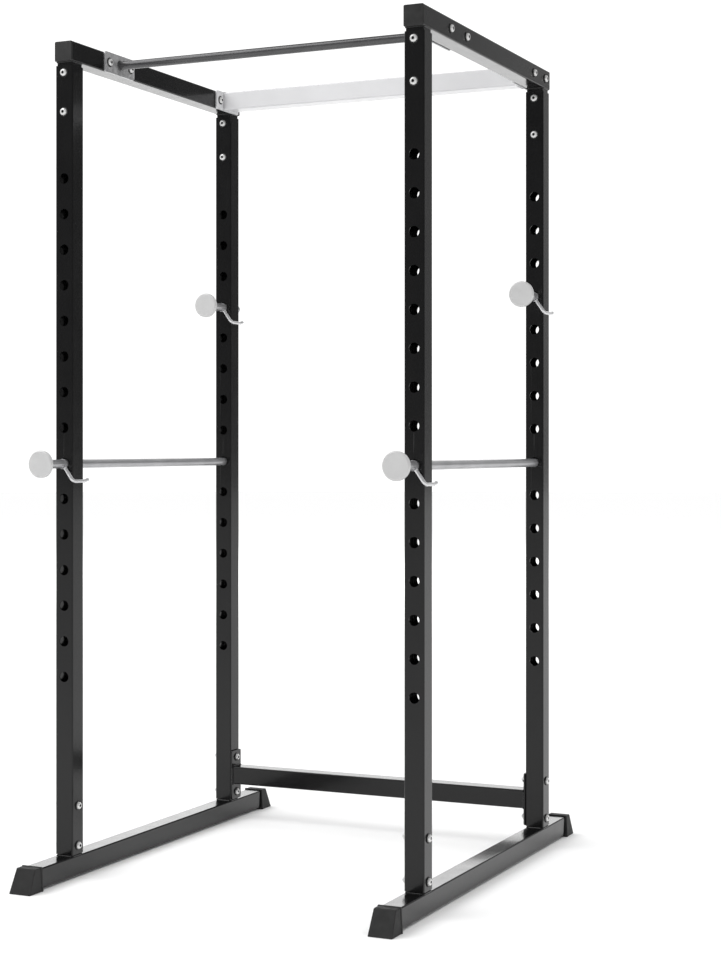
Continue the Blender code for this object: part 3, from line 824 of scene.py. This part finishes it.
def boltShape(grip):
    # button head above the XY plane, shank and thread below it
    radius = boltValues["radius"]
    head = boltValues["headRadius"]
    height = boltValues["headHeight"]
    flat = boltValues["headTop"]
    rim = boltValues["headRim"]
    edge = boltValues["headEdge"]
    profile = [(height, 0), (height, flat * 0.9)]
    for step in range(1, boltValues["headSteps"] + 1):
        turn = math.pi / 2 * step / boltValues["headSteps"]
        fall = (height - rim) * (1 - math.cos(turn))
        profile.append((height - fall, flat + (head - flat) * math.sin(turn)))
    profile += [(edge, head), (0, head - edge), (0, radius)]
    pitch = boltValues["threadPitch"]
    ridges = boltValues["ridges"]
    past = grip + boltValues["washerThickness"] + nutValues["height"] + boltValues["threadPast"]
    crest = -(past - ridges * pitch)
    profile.append((crest, radius))
    for ridge in range(ridges):
        top = 1 if ridge < ridges - 1 else boltValues["threadEnd"]
        profile.append((crest - (ridge + 0.5) * pitch, radius * boltValues["threadRoot"]))
        profile.append((crest - (ridge + 1) * pitch, radius * top))
    profile.append((-past, 0))
    bm = lathe(profile, boltValues["rounds"])
    depth = boltValues["socketDepth"]
    flats = boltValues["socketFlats"] / 2
    socket = rod(flats / math.cos(math.pi / 6), 2 * depth, 6)
    placed(socket, Matrix.Translation((0, 0, height - depth)))
    bm = carved(bm, socket)
    for face in bm.faces:
        centre = face.calc_center_median()
        inside = math.hypot(centre.x, centre.y) < flats * 1.01
        if inside and height - depth * 1.01 < centre.z < height - 0.0001:
            # the socket faces take the dark steel, as painted shade in the recess
            face.material_index = 1  # walls and floor of the socket
    return bm


def washerShape(thickness):
    inner = boltValues["radius"] + boltValues["gap"]
    outer = boltValues["washerRadius"]
    edge = boltValues["washerEdge"]
    profile = [(0, inner), (0, outer - edge), (edge, outer), (thickness - edge, outer)]
    profile += [(thickness, outer - edge), (thickness, inner), (0, inner)]
    return lathe(profile, boltValues["washerRounds"])


def nutShape():
    # chamfered hexagon with a nylon collar, from the origin along +Z
    flats = nutValues["flats"] / 2
    corner = flats / math.cos(math.pi / 6)
    height = nutValues["hexHeight"]
    chamfer = nutValues["chamfer"]
    flatTop = flats * nutValues["flatTop"]
    hexagon = rod(corner, height, 6)
    cone = lathe([
        (0, 0), (0, flatTop), (chamfer, corner), (height - chamfer, corner),
        (height, flatTop), (height, 0),
    ], nutValues["rounds"])
    hexagon = carved(hexagon, cone, "INTERSECT")
    collar = nutValues["height"] - height
    bore = boltValues["radius"] * nutValues["bore"]
    ring = lathe([
        (0, bore), (0, flats * 0.93), (collar * 0.75, flats * 0.90), (collar, flats * 0.80),
        (collar, flats * 0.74), (collar * 0.92, flats * 0.73), (collar * 0.92, bore), (0, bore),
    ], nutValues["rounds"])
    placed(ring, Matrix.Translation((0, 0, height)))
    thick = nutValues["insert"]
    insert = lathe([
        (0, bore), (0, flats * 0.73), (thick, flats * 0.73), (thick, bore), (0, bore),
    ], nutValues["rounds"])
    placed(insert, Matrix.Translation((0, 0, height + collar * 0.92)))
    for face in insert.faces:
        face.material_index = 1  # nylon
    return joined(hexagon, ring, insert)


def addBolt(node):
    low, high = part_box(node)
    middle = (low + high) / 2
    isTop = "_top_bolt" in node
    outward = -back if isTop else across
    length = (high - low).dot(back if isTop else across)
    headEnd = middle + outward * length / 2
    seat = headEnd - outward * (boltValues["headHeight"] + boltValues["gap"])
    grip = length - boltValues["headHeight"] - nutValues["height"] - 2 * boltValues["gap"]
    name = pieceName(node)
    thick = boltValues["washerThickness"]
    shape = placed(boltShape(grip + thick), alongAxis(seat + outward * thick, outward))
    addPiece(name, shape, [zincPlate, socketSteel], node=node)
    washer = placed(washerShape(thick), alongAxis(seat, outward))
    addPiece(f"{name}Washer", washer, [capPlastic])
    under = seat - outward * grip
    backWasher = placed(washerShape(thick), alongAxis(under, -outward))
    nut = placed(nutShape(), alongAxis(under - outward * thick, -outward))
    addPiece(f"{name}Nut", joined(backWasher, nut), [zincPlate, nylonRing])


for node in sorted(frame["nodes"]):
    if "_bolt" in node:
        addBolt(node)
print("bolts, washers and nuts made")


rodValues = {
    "chamfer": 0.0015, "studRadius": 0.005, "studLength": 0.014, "studEdge": 0.0006,
    "shoulder": 0.0005, "rounds": 64,
}
knobValues = {
    "edge": 0.0045, "rim": 0.0085, "rimRound": 0.002, "neck": 0.0125, "neckLength": 0.004,
    "neckFlare": 0.0012, "neckStep": 0.001, "neckEdge": 0.0006,
    "bore": 0.0053, "boreDepth": 0.014, "rounds": 96,
}
hookValues = {
    "wire": 0.009, "rounds": 24, "bend": 0.010, "bendSteps": 12, "tipBend": 0.020,
    "tipTurn": 12, "tipSteps": 4, "tipLength": 0.012, "endSteps": 5,
    "collarWall": 0.0010, "collarEdge": 0.0004, "collarRounds": 64, "gap": 0.0004,
    "bead": 0.0011, "beadGap": 0.0002, "beadSteps": 28,
}


def addRod(node, body):
    low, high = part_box(node)
    radius = (high.x - low.x) / 2
    start = Vector(((low.x + high.x) / 2, low.y, (low.z + high.z) / 2))
    length = high.y - low.y
    stud = rodValues["studRadius"]
    studLength = rodValues["studLength"]
    studEdge = rodValues["studEdge"]
    shoulder = rodValues["shoulder"]
    chamfer = rodValues["chamfer"]
    profile = [
        (0, 0), (0, stud - studEdge), (studEdge, stud), (studLength, stud),
        (studLength, radius - shoulder), (studLength + shoulder, radius),
        (length - chamfer, radius), (length, radius - chamfer), (length, 0),
    ]
    bm = placed(lathe(profile, rodValues["rounds"]), alongAxis(start, back))
    addPiece(pieceName(node), bm, [rodSteel], body, node)


def addKnob(node, body):
    low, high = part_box(node)
    outer = (high.x - low.x) / 2
    length = high.y - low.y
    edge = knobValues["edge"]
    rim = knobValues["rim"]
    rimRound = knobValues["rimRound"]
    neck = knobValues["neck"]
    neckEdge = knobValues["neckEdge"]
    neckFrom = length - knobValues["neckLength"]
    boreFrom = length - knobValues["boreDepth"]
    profile = [(0, 0)] + arc((edge, outer - edge), edge, 180, 90, 8)
    profile.append((rim, outer))
    profile += arc((rim, outer - rimRound), rimRound, 90, 50, 4)[1:]
    profile += [(neckFrom, neck + knobValues["neckFlare"])]
    profile += [(neckFrom + knobValues["neckStep"], neck)]
    profile += [(length - neckEdge, neck), (length, neck - neckEdge)]
    profile += [(length, knobValues["bore"]), (boreFrom, knobValues["bore"]), (boreFrom, 0)]
    bm = lathe(profile, knobValues["rounds"])
    start = Vector(((low.x + high.x) / 2, low.y, (low.z + high.z) / 2))
    placed(bm, alongAxis(start, back))
    piece = addPiece(pieceName(node), bm, [knobSteel], body, node)
    radii = piece.data.attributes.new("turnRadius", "FLOAT", "POINT")
    for vert, entry in zip(piece.data.vertices, radii.data):
        offset = vert.co - start
        entry.value = math.hypot(offset.x, offset.z) + offset.y


def addHook(node, body, rodNode):
    # collar on the rod and a bent wire that lies beside the upright
    low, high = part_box(node)
    rodLow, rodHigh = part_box(rodNode)
    wire = hookValues["wire"] / 2
    pivot = Vector(((rodLow.x + rodHigh.x) / 2, low.y, (rodLow.z + rodHigh.z) / 2))
    rodRadius = (rodHigh.x - rodLow.x) / 2
    inner = rodRadius + hookValues["gap"]
    outer = inner + hookValues["collarWall"]
    collarLength = 2 * wire
    legX = high.x - wire
    legZ = low.z + wire
    corner = Vector((legX, low.y + wire, legZ))
    centre = Vector((pivot.x, corner.y, pivot.z))
    outward = (corner - centre).normalized()
    reach = (corner - centre).length
    bend = hookValues["bend"]
    bm = bmesh.new()
    start = centre + outward * (inner + hookValues["collarWall"] * 0.4)
    bmesh.ops.create_circle(
        bm, cap_ends=True, segments=hookValues["rounds"], radius=wire,
        matrix=alongAxis(start, outward),
    )
    rim = bm.edges[:]
    rim = growRim(bm, rim, Matrix.Translation(outward * (reach - bend - (start - centre).length)))
    hinge = centre + outward * (reach - bend) + back * bend
    bendTurn = turnAbout(hinge, outward.cross(back), math.pi / 2 / hookValues["bendSteps"])
    for step in range(hookValues["bendSteps"]):
        rim = growRim(bm, rim, bendTurn)
    tipBend = hookValues["tipBend"]
    tipTurn = math.radians(hookValues["tipTurn"])
    tipLength = hookValues["tipLength"]
    tipReach = high.y - wire - tipBend * math.sin(tipTurn) - tipLength * math.cos(tipTurn)
    rim = growRim(bm, rim, Matrix.Translation(back * (tipReach - (corner.y + bend))))
    hinge = Vector((legX, tipReach, legZ + tipBend))
    for step in range(hookValues["tipSteps"]):
        rim = growRim(bm, rim, turnAbout(hinge, across, tipTurn / hookValues["tipSteps"]))
    direction = Matrix.Rotation(tipTurn, 3, "X") @ back
    rim = growRim(bm, rim, Matrix.Translation(direction * tipLength))
    last = hookValues["endSteps"]
    for step in range(1, last + 1):
        before, after = math.pi / 2 * (step - 1) / last, math.pi / 2 * step / last
        shrink = math.cos(after) / math.cos(before) if step < last else 0.02
        rise = direction * wire * (math.sin(after) - math.sin(before))
        rim = growRim(bm, rim, Matrix.Translation(rise) @ swollen(rim, shrink))
    bmesh.ops.contextual_create(bm, geom=rim)
    edge = hookValues["collarEdge"]
    collar = lathe([
        (0, inner), (0, outer - edge), (edge, outer), (collarLength - edge, outer),
        (collarLength, outer - edge), (collarLength, inner), (0, inner),
    ], hookValues["collarRounds"])
    placed(collar, alongAxis(pivot, back))
    for face in collar.faces:
        face.material_index = 1
    beadGap = hookValues["beadGap"]
    bead = roundBead(wire + beadGap, hookValues["bead"], hookValues["beadSteps"])
    placed(bead, alongAxis(centre + outward * (outer + beadGap), outward))
    whole = joined(bm, collar, bead)
    steels = [hookSteel, rodSteel]
    addPiece(pieceName(node), whole, steels, body, node, flat=False)


for joint in frame["joints"]:
    if joint["type"] != "slide":
        continue
    bodyName = joint["child"]
    addRod(bodyName, bodyName)
    addKnob(f"{bodyName}_knob", bodyName)
    addHook(f"{bodyName}_hook", f"{bodyName}_latch", bodyName)
print("rods, knobs and latch hooks made")


# floor, light and camera

studio = {
    "floorRadius": 40, "floorTone": 0.92, "floorRoughness": 0.9, "floorSpecular": 0.1,
    "skyStrength": 1.17, "frontShade": 0.80, "roomTone": 0.12, "frontTone": 0.18,
    "sweepTone": 0.95, "sweepRight": (-0.10, 0.48), "sweepBack": (-0.10, 0.40),
    "sweepTop": (0.40, 0.80),
    "keyPower": 90, "keySize": (3.0, 3.0), "keyPlace": (-2.2, -1.6, 4.2),
    "sweepPower": 230, "sweepSize": (8.0, 7.0), "sweepPlace": (-4.6, 9.6, 2.6),
}
cameraValues = {
    "place": (2.176, -4.4166, 1.0804), "azimuth": 24.753, "focal": 71.27, "shift": -0.0334,
    "farthest": 200,
}


def addFloor():
    bm = bmesh.new()
    bmesh.ops.create_circle(bm, cap_ends=True, segments=96, radius=studio["floorRadius"])
    mesh = bpy.data.meshes.new("studioFloor")
    bm.to_mesh(mesh)
    bm.free()
    floor = bpy.data.objects.new("studioFloor", mesh)
    bpy.context.scene.collection.objects.link(floor)
    material, nodes, links, shader = newMaterial("studioFloor")
    tone = studio["floorTone"]
    shader.inputs["Base Color"].default_value = (tone, tone, tone, 1)
    shader.inputs["Roughness"].default_value = studio["floorRoughness"]
    shader.inputs["Specular IOR Level"].default_value = studio["floorSpecular"]
    mesh.materials.append(material)


def addSky():
    # white all round; what gloss mirrors is a lit sweep behind the cage in a dim room
    world = bpy.data.worlds.new("studioSky")
    bpy.context.scene.world = world
    world.use_nodes = True
    nodes = world.node_tree.nodes
    links = world.node_tree.links
    place = nodes.new("ShaderNodeTexCoord")
    split = nodes.new("ShaderNodeSeparateXYZ")
    links.new(place.outputs["Generated"], split.inputs["Vector"])

    def mixed(operation, first, second):
        node = nodes.new("ShaderNodeMath")
        node.operation = operation
        for socket, value in zip(node.inputs, (first, second)):
            if isinstance(value, float):
                socket.default_value = value
            else:
                links.new(value, socket)
        return node.outputs["Value"]

    white = rampBetween(nodes, links, split.outputs["Y"], studio["frontShade"], 1.0, -0.9, 0.1)
    right = rampBetween(nodes, links, split.outputs["X"], 1.0, 0.0, *studio["sweepRight"])
    behind = rampBetween(nodes, links, split.outputs["Y"], 0.0, 1.0, *studio["sweepBack"])
    top = rampBetween(nodes, links, split.outputs["Z"], 1.0, 0.0, *studio["sweepTop"])
    tones = studio["frontTone"], studio["roomTone"]
    room = rampBetween(nodes, links, split.outputs["Y"], *tones, -0.9, 0.1)
    sweep = mixed("MULTIPLY", mixed("MULTIPLY", right, behind), top)
    lift = mixed("MULTIPLY", sweep, studio["sweepTone"] - studio["roomTone"])
    mirrored = mixed("ADD", room, lift)
    path = nodes.new("ShaderNodeLightPath")
    choice = nodes.new("ShaderNodeMix")
    links.new(path.outputs["Is Glossy Ray"], choice.inputs["Factor"])
    links.new(white, choice.inputs["A"])
    links.new(mirrored, choice.inputs["B"])
    background = nodes["Background"]
    links.new(choice.outputs["Result"], background.inputs["Color"])
    background.inputs["Strength"].default_value = studio["skyStrength"]


def addLamp(name, power, size, place, target):
    lamp = bpy.data.lights.new(name, "AREA")
    lamp.energy = power
    lamp.shape = "RECTANGLE"
    lamp.size, lamp.size_y = size
    light = bpy.data.objects.new(name, lamp)
    light.location = place
    light.rotation_euler = (Vector(target) - light.location).to_track_quat("-Z", "Y").to_euler()
    bpy.context.scene.collection.objects.link(light)


def addLamps():
    # soft key above the cage, and a wide lamp over the floor far behind it
    middle = (cadLow + cadHigh) / 2
    addLamp("softKey", studio["keyPower"], studio["keySize"], studio["keyPlace"], middle)
    place = studio["sweepPlace"]
    under = (place[0], place[1], 0)
    addLamp("sweepLamp", studio["sweepPower"], studio["sweepSize"], place, under)


def addCamera():
    lens = bpy.data.cameras.new("studioCamera")
    lens.lens = cameraValues["focal"]
    lens.shift_y = cameraValues["shift"]
    lens.clip_end = cameraValues["farthest"]
    camera = bpy.data.objects.new("studioCamera", lens)
    camera.location = cameraValues["place"]
    camera.rotation_euler = (math.pi / 2, 0, math.radians(cameraValues["azimuth"]))
    bpy.context.scene.collection.objects.link(camera)
    bpy.context.scene.camera = camera


addFloor()
addSky()
addLamps()
addCamera()
bpy.context.scene.view_settings.view_transform = "Standard"
print("floor, light and camera made")
